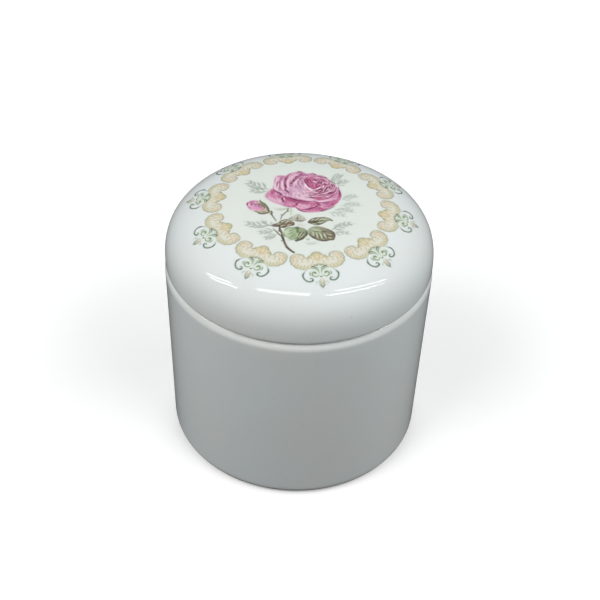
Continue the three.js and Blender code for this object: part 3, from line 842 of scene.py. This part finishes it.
    # the broad leaf, green on its left and brown on its right
    patch(ink, [(2.4, -16.6), (2.7, -15.2), (3.6, -13.9), (5.4, -13.2), (7.5, -13.5), (9.1, -14.3),
                (10.4, -15.3), (11.5, -16.4), (12, -17.8), (11.9, -19.3), (11.6, -20.6), (10.2, -20.8),
                (8.8, -21.3), (7.6, -21.4), (6.2, -21.1), (4.9, -20.4), (3.8, -19.4), (3, -18.2)],
          (112, 104, 80), (166, 178, 146), (-1, 0.35), seed=46, streak=0.35, soft=0.25, mid=0.42)
    strokes(ink, 0.72, (84, 70, 54), 0.9,
            [(9, -14.4), (10.5, -15.5), (11.6, -16.8), (11.9, -18.4), (11.6, -20.3)],
            [(11.6, -20.5), (10.2, -20.7), (8.8, -21.2), (7.6, -21.3), (6.2, -21), (4.9, -20.3)],
            [(2.9, -17.4), (3.4, -18.6), (4.4, -19.8), (5.2, -20.4)], tip=(0.4, 0.5), soft=0.22)
    strokes(ink, 0.9, (146, 126, 108), 0.7, [(8.6, -16.4), (9.8, -16.6), (11, -17.2)],
            [(8.8, -18.6), (10, -18.8), (11.2, -19)], [(6.2, -14.4), (7.4, -14.6), (8.6, -15.4)],
            [(3, -16.2), (3.6, -17.2), (3.8, -18.2)], soft=0.4)
    strokes(ink, 0.45, (88, 80, 58), 0.8, [(4.8, -17), (5.2, -18.6), (5.7, -20.2)],
            [(6, -16.8), (6.5, -18.6), (7, -20.6)], [(7.3, -16.8), (7.9, -18.6), (8.4, -20.6)],
            [(8.5, -17), (9.3, -18.6), (9.9, -20.3)], [(4, -15.6), (5.2, -16.2), (6.6, -16.4)],
            [(6.6, -16.2), (8.4, -16), (10.2, -16.4)], [(4.6, -18.6), (4.8, -19.4), (5.2, -20)],
            soft=0.18)
    strokes(ink, 0.48, (222, 222, 200), 0.85, [(5.3, -16.9), (5.8, -18.6), (6.3, -20.4)],
            [(6.6, -16.9), (7.2, -18.8), (7.7, -20.6)], [(7.9, -16.8), (8.6, -18.4), (9.2, -20.2)],
            [(4.2, -16.6), (4.5, -17.8), (5, -19.2)], [(9, -17.4), (10.2, -17.7), (11.2, -17.9)],
            [(9.3, -19.4), (10.2, -19.6), (11.1, -19.8)], [(3.6, -15.2), (5, -15.6), (6.4, -15.6)],
            soft=0.18)
    patch(ink, [(2.1, -20.6), (2.9, -20.1), (3.4, -20.8), (2.9, -21.5), (2.2, -21.3)], (160, 182, 142),
          (190, 206, 172), alpha=0.8, soft=0.3)


def frond(ink, root, tip, leaflets, reach, rgb=FERN, alpha=0.7, bend=0.12):
    """A faint fern sprig: a thin rib with paired leaflets that shorten towards the tip."""
    root, tip = np.array(root, float), np.array(tip, float)
    run = tip - root
    length = np.hypot(*run)
    ahead, left = run / length, np.array([-run[1], run[0]]) / length
    rib = [root + run * t + left * bend * length * math.sin(math.pi * t) for t in np.linspace(0, 1, 6)]
    stroke(ink, rib, 0.42, rgb, alpha, tip=(0.8, 0.3), soft=0.25)
    curve = smooth(rib)
    for i in range(leaflets):
        at = curve[int((0.12 + 0.8 * i / leaflets) * (len(curve) - 1))]
        size = reach * (1 - 0.55 * i / leaflets)
        for side in (1, -1):
            end = at + ahead * size * 0.95 + left * side * size * 0.62
            mid = (at + end) / 2 + left * side * size * 0.08
            stroke(ink, [at, mid, end], 0.85, rgb, alpha, tip=(0.3, 0.25), soft=0.32)


def fronds(ink):
    for root, tip, leaflets, reach, alpha in (
            ((-12.4, 8.4), (-20.6, 14.6), 4, 4, 0.8), ((-12.8, 7), (-19.8, 8.6), 3, 2.8, 0.65),
            ((11.4, 12.4), (15.4, 21.4), 5, 3.4, 0.6), ((12.6, 12.4), (18, 16.6), 3, 2.6, 0.55),
            ((14.4, 3.4), (21, 6.4), 4, 2.6, 0.45), ((14.4, -0.4), (22.2, 0.6), 4, 2.6, 0.45),
            ((12, -3), (19.4, -4), 4, 2.6, 0.45), ((10, -4.8), (16.4, -7.4), 3, 2.4, 0.4),
            ((11, -15), (19.4, -10.8), 4, 2.8, 0.7), ((11.6, -16.8), (18, -17), 3, 2, 0.5),
            ((-10.6, -13.8), (-20.2, -11.6), 4, 3.4, 0.7), ((-9.6, -14.2), (-14, -9.8), 2, 2, 0.5),
            ((-9.2, -16.4), (-15.4, -17.4), 3, 2.4, 0.6), ((-8.2, -18.8), (-13.2, -20.8), 3, 2.2, 0.6)):
        frond(ink, root, tip, leaflets, reach, alpha=alpha)
    stroke(ink, [(-10, -3.6), (-7.6, -4), (-5.2, -3.4), (-3, -3.2)], 1.4, (180, 188, 170), 0.7, soft=0.7)
    stroke(ink, [(1.6, -23), (3.8, -23.2), (6.4, -22.6)], 1.2, (186, 192, 186), 0.6, soft=0.6)
    stroke(ink, [(-5, -21.2), (-3.6, -21.6), (-2.8, -20.8)], 1.2, (186, 194, 188), 0.5, soft=0.6)
    stroke(ink, [(-1.6, -12.2), (0, -13), (1.6, -12.8)], 1.4, (196, 204, 194), 0.5, soft=0.7)
    stroke(ink, [(-1.4, -6.4), (-0.6, -7.8), (-1, -9)], 1.8, (186, 180, 182), 0.5, soft=0.7)


def fire(ink):
    """The pinks come out of the kiln deeper, and with more contrast, than they were painted."""
    pinkness = step_up(ink.ink[:, 0] - ink.ink[:, 1], 10, 35)[:, None]
    fired = np.clip(FIRED_PINK + (ink.ink - PAINTED_PINK) * FIRED_CONTRAST, 0, 255)
    ink.ink += (fired - ink.ink) * pinkness


def spray(ink):
    for layer in (fronds, stems, leaves, bud, bloom, outer_petals, lower_petals, cup_petals, heart,
                  folded_petals, right_petals, petal_lines, wrapping_petals, bloom_accents, fire):
        layer(ink)


# ---- the scroll garland --------------------------------------------------------------------

SEGMENTS = 10
SEGMENT = 2 * math.pi / SEGMENTS
GARLAND_START = math.radians(83.2)
# One half of a segment is drawn in (across, radius) from the middle of the segment, as if the
# ring were straight at this radius. The other half is its mirror image.
DRAWING_RADIUS = 34
CREAM = (222, 223, 209)
BUFF = (224, 216, 196)
OCHRE = (210, 204, 162)
OLIVE = (146, 146, 108)
SCROLL = (82, 114, 80)


def garland(ink):
    """The cream and buff scrolls that make up the ring."""
    patch(ink, [(-0.6, 33.2), (0, 33.4), (1.6, 34.6), (3.4, 35.4), (5.4, 35.7), (7.2, 35.2), (8.6, 34.3),
                (9.6, 33.2), (9.9, 31.8), (9.7, 30.4), (9.2, 29.3), (7.8, 29), (6.2, 29.1), (5.2, 29.6),
                (4.7, 30.2), (4.2, 30.6), (3.2, 29.9), (2.2, 29.2), (1.4, 28.4), (0, 27.9), (-1, 28.2)],
          BUFF, CREAM, (0.1, 1), alpha=0.92, streak=0.5, seed=61, soft=0.3, rim=(204, 194, 156),
          rim_width=0.9)
    # straw colour along the outer edge, a warmer blush in the scroll's eye
    stroke(ink, [(2.6, 34.7), (5, 35.1), (7.2, 34.5), (8.8, 33.2)], 0.9, OCHRE, 0.75, soft=0.5)
    stroke(ink, [(7.6, 32.4), (8.2, 31.2), (7.6, 30.2)], 1.5, (228, 210, 188), 0.6, soft=0.6)
    strokes(ink, 1.2, (228, 230, 218), 0.7, [(3, 33.2), (5, 33.4), (6.6, 32.6)],
            [(1.2, 32.6), (2.4, 32.2), (3.6, 31.6)], [(5.2, 32), (6.4, 31.8), (7.4, 32.4)], soft=0.6)
    # ruffles under the outer edge and on the curl
    for across, top, bottom in ((1.9, 34.4, 33.2), (2.9, 34.9, 33.4), (4.1, 35.2, 33.8),
                                (5.2, 35.4, 33.6), (6.3, 35.1, 33.9), (7.3, 34.7, 33.2),
                                (8.2, 34.1, 32.8), (9, 33.2, 31.9)):
        stroke(ink, [(across, top), (across - 0.25, (top + bottom) / 2), (across - 0.7, bottom)], 0.38,
               (182, 172, 130), 0.65, soft=0.2)
    strokes(ink, 0.4, (192, 174, 130), 0.7, [(8.5, 33), (9, 31.6), (8.6, 30.4), (7.6, 29.9)],
            [(7.2, 33), (7.4, 32), (6.9, 31)], [(5.6, 33), (5.8, 32.2), (5.2, 31.5)],
            [(9.5, 31.2), (8.8, 30.4), (8.2, 29.6)], [(6.2, 30.3), (7, 30.1), (7.6, 30.6)],
            [(3.9, 32.6), (3.4, 31.8), (2.8, 31)], [(2.3, 33.4), (1.9, 32.5), (1.6, 31.7)], soft=0.22)
    strokes(ink, 0.5, (236, 208, 172), 0.6, [(7, 34.2), (8.2, 33.5), (8.9, 32.6)],
            [(8, 30.2), (8.6, 30.8), (8.7, 31.6)], soft=0.3)
    # the pendant between the two scrolls
    patch(ink, [(-1, 32.4), (0, 32.9), (1, 32), (2.2, 31.2), (3, 30), (2, 29.1), (1.1, 28.3), (0, 28),
                (-1, 28.4)], (206, 196, 150), (224, 212, 184), (0, 1), alpha=0.85, streak=0.5, seed=62,
          soft=0.4)
    strokes(ink, 0.34, (184, 168, 122), 0.65, [(0, 32.4), (0.7, 31.2), (0.9, 29.8), (0.3, 28.7)],
            [(1.6, 31.4), (2.3, 30.5), (2.1, 29.7)], soft=0.25)
    strokes(ink, 0.4, (236, 224, 190), 0.7, [(1.1, 31.8), (1.6, 30.6), (1.3, 29.4)],
            [(0.1, 31), (0.3, 30), (0.1, 29.2)], soft=0.25)
    strokes(ink, 0.5, (150, 150, 110), 0.6, [(2.5, 30.7), (3.1, 30.4), (3.4, 29.9)],
            [(1, 28.4), (1.7, 28.9), (2.2, 29.5)], soft=0.3)
    # outlines: the scalloped outer edge, the curl at the end and the lower scroll
    stroke(ink, [(3.2, 35.5), (5.4, 35.8), (7, 35.3)], 0.32, OLIVE, 0.6, tip=(0.2, 0.8), soft=0.2)
    for a, b, c in (((6.8, 35.5), (7.9, 35), (8.5, 34.2)), ((8.4, 34.5), (9.3, 33.8), (9.5, 32.9)),
                    ((9.4, 33.2), (10, 32.3), (9.8, 31.4)), ((9.8, 31.8), (10.1, 30.8), (9.6, 29.6))):
        stroke(ink, [a, b, c], 0.46, OLIVE, 0.75, tip=(0.4, 0.6), soft=0.18)
    strokes(ink, 0.46, (148, 142, 110), 0.7,
            [(9.3, 29.3), (8, 29), (6.4, 29), (5.2, 29.5), (4.9, 30.4), (5.3, 31)],
            [(4.4, 30.7), (3.8, 31), (3.4, 30.2), (2.4, 29.4)],
            [(2.3, 29.2), (1.5, 28.4), (0.4, 27.9), (-0.5, 27.9)], tip=(0.3, 0.5), soft=0.24)
    stroke(ink, [(5.3, 31), (6, 31.3), (6.5, 30.8)], 0.36, (168, 160, 130), 0.6, soft=0.2)
    stroke(ink, [(0, 33.3), (1, 33.9), (2, 34.6), (3, 35.3)], 0.42, OLIVE, 0.75, soft=0.2)


def ornament(ink):
    """The green scrolls and the small pointed flower above the middle of each segment."""
    patch(ink, [(-0.6, 34), (0.8, 34.2), (2.4, 35.6), (3.4, 36.6), (3.2, 38.4), (1.8, 39), (0.6, 38.6),
                (-0.6, 38.8)], (206, 218, 198), (218, 228, 212), alpha=0.65, seed=71, soft=0.5)
    stroke(ink, [(3.6, 35.8), (4.6, 36.4), (5.4, 37.7), (5.2, 39.1), (4.4, 40.1), (3.6, 40.4),
                 (2.8, 40.2), (2.5, 39.6), (2.9, 39.2), (3.3, 39.4)], 0.5, SCROLL, 0.95, tip=(0.2, 0.6),
           soft=0.15)
    strokes(ink, 0.62, (62, 98, 64), 0.7, [(4.8, 37), (5.45, 38), (5.1, 39.2)],
            [(3.1, 40.4), (2.6, 40), (2.6, 39.5)])
    spiral = [(1.75 + (1.3 - 0.13 * i) * math.cos(2.6 - 0.72 * i),
               37.45 + (1.4 - 0.14 * i) * math.sin(2.6 - 0.72 * i)) for i in range(9)]
    stroke(ink, spiral, 0.62, (188, 204, 174), 0.8, tip=(0.6, 1), soft=0.2)
    stroke(ink, spiral, 0.3, (104, 124, 94), 0.9, tip=(0.5, 1), soft=0.14)
    stroke(ink, [(1.4, 37.4), (1.8, 37.1), (2.1, 37.5)], 0.5, (120, 138, 104), 0.8, soft=0.2)
    strokes(ink, 0.34, (94, 122, 84), 0.85,
            [(0.4, 37.6), (0.5, 36.4), (1.2, 35.6), (2.5, 35.2), (3.4, 35.4)],
            [(0.3, 36), (0.8, 35.1), (1.8, 34.7), (2.4, 34.4)], [(-0.1, 33.6), (0.5, 34), (1.1, 34.5)],
            [(3, 38.4), (3.3, 37.6), (3.2, 36.6)], soft=0.15)
    strokes(ink, 0.45, (72, 96, 66), 0.8, [(1.3, 35), (1.8, 34.6), (2.3, 34.5)],
            [(-0.2, 38.7), (0, 38.7), (0.2, 38.7)], tip=(0.7, 1))
    # the flower: a pale bud with a dark point and two faint side petals
    patch(ink, [(-0.4, 39.4), (-0.75, 41), (-0.3, 42.2), (0.3, 42.2), (0.75, 41), (0.4, 39.4)],
          (226, 216, 196), (208, 206, 166), (0, 1), seed=72, soft=0.3, alpha=0.65)
    stroke(ink, [(0.7, 41.4), (0.38, 41.9), (0, 42.5)], 0.38, (92, 104, 82), 0.85, tip=(0.3, 1),
           soft=0.16)
    strokes(ink, 0.3, (150, 152, 118), 0.7, [(0.75, 41.7), (0.72, 40.6), (0.35, 39.5)],
            [(0.2, 41.9), (0.3, 41.2), (0.1, 40.4)], [(0.9, 40.2), (1.6, 40.7), (1.7, 41.4)], soft=0.2)


# ==== prints ================================================================================

def without_corner_contacts(keep):
    """The same cells, with one more wherever two of them touched at a corner only."""
    while True:
        a, b, c, d = keep[:-1, :-1], keep[:-1, 1:], keep[1:, :-1], keep[1:, 1:]
        rising, falling = b & c & ~a & ~d, a & d & ~b & ~c
        if not (rising.any() or falling.any()):
            return keep
        keep[:-1, :-1] |= rising
        keep[:-1, 1:] |= falling


# The transfers were laid on by hand, a little off the lid's axis.
PRINTS_OFF_CENTRE = (0.2, 1.0)
LEAST_COVER = 0.02
FILM_CLEARANCE = 0.01
ROSE_RISE, BORDER_RISE = 0.035, 0.025
ROSE_GRID = 0.16
ROSE_LEFT, ROSE_RIGHT = -22.5, 23
ROSE_FRONT, ROSE_BACK = -29, 23
BORDER_COLUMNS, BORDER_GRID = 108, 0.19


def film(name, x, y, colours, cover, rise):
    """A closed skin over the inked cells of a grid laid on the dome, its face rise above it."""
    inked = cover > LEAST_COVER
    keep = inked[:-1, :-1] | inked[:-1, 1:] | inked[1:, :-1] | inked[1:, 1:]
    keep = without_corner_contacts(keep)
    row, column = np.nonzero(keep)
    node = np.arange(x.size).reshape(x.shape)
    corners = [node[row, column], node[row, column + 1],
               node[row + 1, column + 1], node[row + 1, column]]
    used, index = np.unique(np.stack(corners, 1), return_inverse=True)
    face = index.reshape(-1, 4)
    above, below = face, face[:, ::-1] + len(used)
    framed = np.pad(keep, 1)
    walls = []
    for k, (up, right) in enumerate(((-1, 0), (0, 1), (1, 0), (0, -1))):
        open_side = ~framed[row + 1 + up, column + 1 + right]
        a, b = face[open_side, k], face[open_side, (k + 1) % 4]
        walls.append(np.stack([a + len(used), b + len(used), b, a], 1))
    px, py = x.ravel()[used] + PRINTS_OFF_CENTRE[0], y.ravel()[used] + PRINTS_OFF_CENTRE[1]
    r, angle = np.hypot(px, py), np.arctan2(py, px)
    z = dome_height(r)
    shrink = 1 - np.minimum(turning(angle, z) / np.maximum(r, 1), LARGEST_STRAY)
    co = np.concatenate([np.stack([px * shrink, py * shrink, z + lift], 1)
                         for lift in (rise, FILM_CLEARANCE)])
    mesh = bpy.data.meshes.new(name)
    mesh.from_pydata((co * MM).tolist(), [], np.concatenate([above, below, *walls]).tolist())
    mesh.polygons.foreach_set("use_smooth", np.arange(len(mesh.polygons)) < len(above))
    ink = np.append(linear(colours.reshape(-1, 3)[used]), np.ones((len(used), 1)), axis=1)
    point_attribute(mesh, "ink", np.tile(ink, (2, 1)), "FLOAT_COLOR")
    point_attribute(mesh, "cover", np.tile(cover.ravel()[used], 2))
    point_attribute(mesh, "outer", np.tile(outside_garland(r), 2))
    return link(name, mesh)


def rose_film():
    x, y = np.meshgrid(np.arange(ROSE_LEFT, ROSE_RIGHT, ROSE_GRID),
                       np.arange(ROSE_FRONT, ROSE_BACK, ROSE_GRID))
    ink = Print(x.ravel(), y.ravel())
    spray(ink)
    return film("rose_print", x, y, ink.ink, ink.cover.reshape(x.shape), ROSE_RISE)


def border_film():
    """One segment of the garland, painted once and repeated all the way round."""
    turn = np.arange(BORDER_COLUMNS) / BORDER_COLUMNS
    r = np.arange(BORDER_INNER, BORDER_OUTER, BORDER_GRID)
    across, radius = np.meshgrid(np.abs(turn - 0.5) * SEGMENT * DRAWING_RADIUS, r)
    ink = Print(across.ravel(), radius.ravel())
    garland(ink)
    ornament(ink)
    colours = np.tile(ink.ink.reshape(len(r), -1, 3), (1, SEGMENTS, 1))
    cover = np.tile(ink.cover.reshape(len(r), -1), (1, SEGMENTS))
    angles = GARLAND_START - np.arange(cover.shape[1]) / BORDER_COLUMNS * SEGMENT
    angle, radius = np.meshgrid(angles, r)
    return film("border_print", radius * np.cos(angle), radius * np.sin(angle), colours, cover, BORDER_RISE)


# ==== the pieces ============================================================================

FLUSH = 0.05


def jar_bare(r, z):
    """The foot ring, wiped so that it doesn't stick in the kiln, and the land the lid sits on."""
    foot = z < FLUSH
    land = z > SEAM - FLUSH and r < JAR_RADIUS - RIM_ROUND + 0.1
    return foot or land


def lid_bare(r, z):
    """The lid's own land, just outside its flange."""
    return abs(z - SEAM) < FLUSH and FLANGE_OUTER < r < LID_EDGE - 0.2


def finished(obj, material, body, node):
    """Give a piece its material, hang it on its body's empty, and hide the CAD node that it stands in for.
    """
    obj.data.materials.append(material)
    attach(obj, body)
    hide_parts(node)


finished(turned("porcelain_jar", jar_outline(), jar_bare), porcelain("jar glaze"),
         "jar", "jar_body")
finished(turned("porcelain_lid", lid_outline(), lid_bare), porcelain("lid glaze"),
         "lid", "lid")
finished(rose_film(), printed("rose print"), "lid", "rose_transfer")
finished(border_film(), printed("border print"), "lid", "border_transfer")


# ==== floor, light and camera ===============================================================

GROUND_RADIUS = 3.9
BELOW_FOOT = 0.0002
GROUND_GLOW, LAMPLIT_GLOW = 1.0, 0.2
LAMPLIT_RADIUS, UNLIT_RADIUS = 0.3, 1.2
JAR_MIDDLE = 0.05
SOFT_BOX_DISTANCE, SOFT_BOX_SIZE = 1.0, 0.6
CEILING = 0.9
HORIZON_LOW, HORIZON_HIGH = -0.25, 0.15


def floor():
    """A pale table top. It glows more and more beyond the lamps' reach, up to the backdrop's white."""
    size = GROUND_RADIUS + 0.1
    corners = [(x * size, y * size, -BELOW_FOOT) for x, y in ((-1, -1), (1, -1), (1, 1), (-1, 1))]
    mesh = bpy.data.meshes.new("floor")
    mesh.from_pydata(corners, [], [(0, 1, 2, 3)])
    n = Nodes("floor")
    away = n.add("ShaderNodeVectorMath", operation="LENGTH")
    n.feed(away.inputs[0], n.place)
    glow = n.fit(away.outputs["Value"], LAMPLIT_RADIUS, UNLIT_RADIUS, LAMPLIT_GLOW, GROUND_GLOW)
    paper = n.mix(n.noise(3.0), colour(250, 250, 250), colour(252, 252, 252))
    n.feed(n.shader.inputs["Base Color"], paper)
    n.feed(n.shader.inputs["Emission Strength"], glow)
    n.shader.inputs["Roughness"].default_value = 0.9
    n.shader.inputs["Specular IOR Level"].default_value = 0.1
    on_stage(n, mesh)


def backdrop():
    """A white dome that meets the floor's far edge."""
    bm = bmesh.new()
    bmesh.ops.create_uvsphere(bm, u_segments=48, v_segments=24, radius=GROUND_RADIUS)
    mesh = bpy.data.meshes.new("backdrop")
    bm.to_mesh(mesh)
    bm.free()
    n = Nodes("backdrop")
    n.shader.inputs["Base Color"].default_value = colour(0, 0, 0)
    n.shader.inputs["Emission Strength"].default_value = GROUND_GLOW
    n.shader.inputs["Specular IOR Level"].default_value = 0.0
    on_stage(n, mesh).visible_shadow = False


def on_stage(n, mesh):
    """Only the camera sees the floor and the backdrop, so they neither light the jar nor mirror in it."""
    n.shader.inputs["Emission Color"].default_value = (1.0, 1.0, 1.0, 1.0)
    mesh.materials.append(n.material)
    obj = link(mesh.name, mesh)
    obj.visible_diffuse = obj.visible_glossy = False
    return obj


def lamp(name, place, turn, size, power, tint=(1.0, 1.0, 1.0)):
    """A rectangular lamp, in metres, radians and watts."""
    data = bpy.data.lights.new(name, "AREA")
    data.shape = "RECTANGLE"
    data.size, data.size_y = size
    data.energy = power
    data.color = tint
    obj = bpy.data.objects.new(name, data)
    obj.location = place
    obj.rotation_euler = turn
    bpy.context.scene.collection.objects.link(obj)
    return obj


def facing_jar(place):
    return (Vector(place) - Vector((0, 0, JAR_MIDDLE))).to_track_quat("Z", "Y").to_euler()


def from_jar(azimuth, elevation, distance):
    """A place at a distance from the jar's middle. Azimuth 0 is the camera's side."""
    a, e = math.radians(azimuth), math.radians(elevation)
    return (distance * math.sin(a) * math.cos(e), -distance * math.cos(a) * math.cos(e),
            JAR_MIDDLE + distance * math.sin(e))


def sky(low, high):
    """A dim, even room: low colour below the horizon, high colour overhead."""
    world = bpy.data.worlds.new("studio")
    world.use_nodes = True
    tree = world.node_tree
    place = tree.nodes.new("ShaderNodeTexCoord")
    split = tree.nodes.new("ShaderNodeSeparateXYZ")
    height = tree.nodes.new("ShaderNodeMapRange")
    mix = tree.nodes.new("ShaderNodeMix")
    mix.data_type = "RGBA"
    height.inputs["From Min"].default_value = HORIZON_LOW
    height.inputs["From Max"].default_value = HORIZON_HIGH
    mix.inputs[6].default_value = (*low, 1.0)
    mix.inputs[7].default_value = (*high, 1.0)
    tree.links.new(place.outputs["Generated"], split.inputs[0])
    tree.links.new(split.outputs["Z"], height.inputs["Value"])
    tree.links.new(height.outputs[0], mix.inputs["Factor"])
    tree.links.new(mix.outputs[2], tree.nodes["Background"].inputs["Color"])
    bpy.context.scene.world = world


floor()
backdrop()
sky((0.07, 0.07, 0.07), (0.09, 0.09, 0.09))
# Soft boxes round the jar, which light it but don't show in its gloss: azimuth and elevation in
# degrees, power in watts.
for name, azimuth, elevation, power, tint in (
        ("left key", -55, 45, 5.6, (1.0, 1.0, 0.99)), ("right key", 55, 45, 4.5, (1.0, 1.0, 0.99)),
        ("left fill", -100, 30, 1.7, (0.97, 0.99, 1.0)), ("right fill", 100, 30, 2.7, (0.97, 0.99, 1.0)),
        ("back fill", 180, 20, 2.2, (0.96, 0.98, 1.0))):
    spot = from_jar(azimuth, elevation, SOFT_BOX_DISTANCE)
    box = lamp(name, spot, facing_jar(spot), (SOFT_BOX_SIZE, SOFT_BOX_SIZE), power, tint)
    box.visible_glossy = False
# Thin ceiling lights, which only show as streaks in the gloss: place, turn, size and power.
for x, y, turn, length, width, power in (
        (-0.13, -0.33, -0.1, 0.48, 0.10, 0.95), (0.72, -0.28, 0.27, 0.95, 0.03, 1.3),
        (0.70, -0.14, 0.27, 0.80, 0.03, 0.8), (-1.04, -0.30, -0.31, 0.68, 0.03, 1.3),
        (-1.01, -0.16, -0.31, 0.62, 0.03, 1.0)):
    strip = lamp("ceiling strip", (x, y, CEILING), (0, 0, turn), (length, width), power)
    strip.visible_diffuse = False

# The photo's camera: its angles, and its distance in metres from the point it looks at.
ELEVATION = math.radians(40.36)
ROLL = math.radians(2.14)
DISTANCE = 0.4075
AIM = Vector((0.0009, 0.0032, 0.0537))
SENSOR, LENS = 36.0, 62.5
back = Vector((0, -math.cos(ELEVATION), math.sin(ELEVATION)))
camera = bpy.data.objects.new("camera", bpy.data.cameras.new("camera"))
bpy.context.scene.collection.objects.link(camera)
camera.location = AIM + back * DISTANCE
camera.rotation_euler = back.to_track_quat("Z", "Y").to_euler()
camera.rotation_euler.rotate_axis("Z", ROLL)
camera.data.sensor_width = SENSOR
camera.data.lens = LENS
camera.data.clip_start = 0.01
bpy.context.scene.camera = camera
bpy.context.scene.view_settings.view_transform = "Standard"
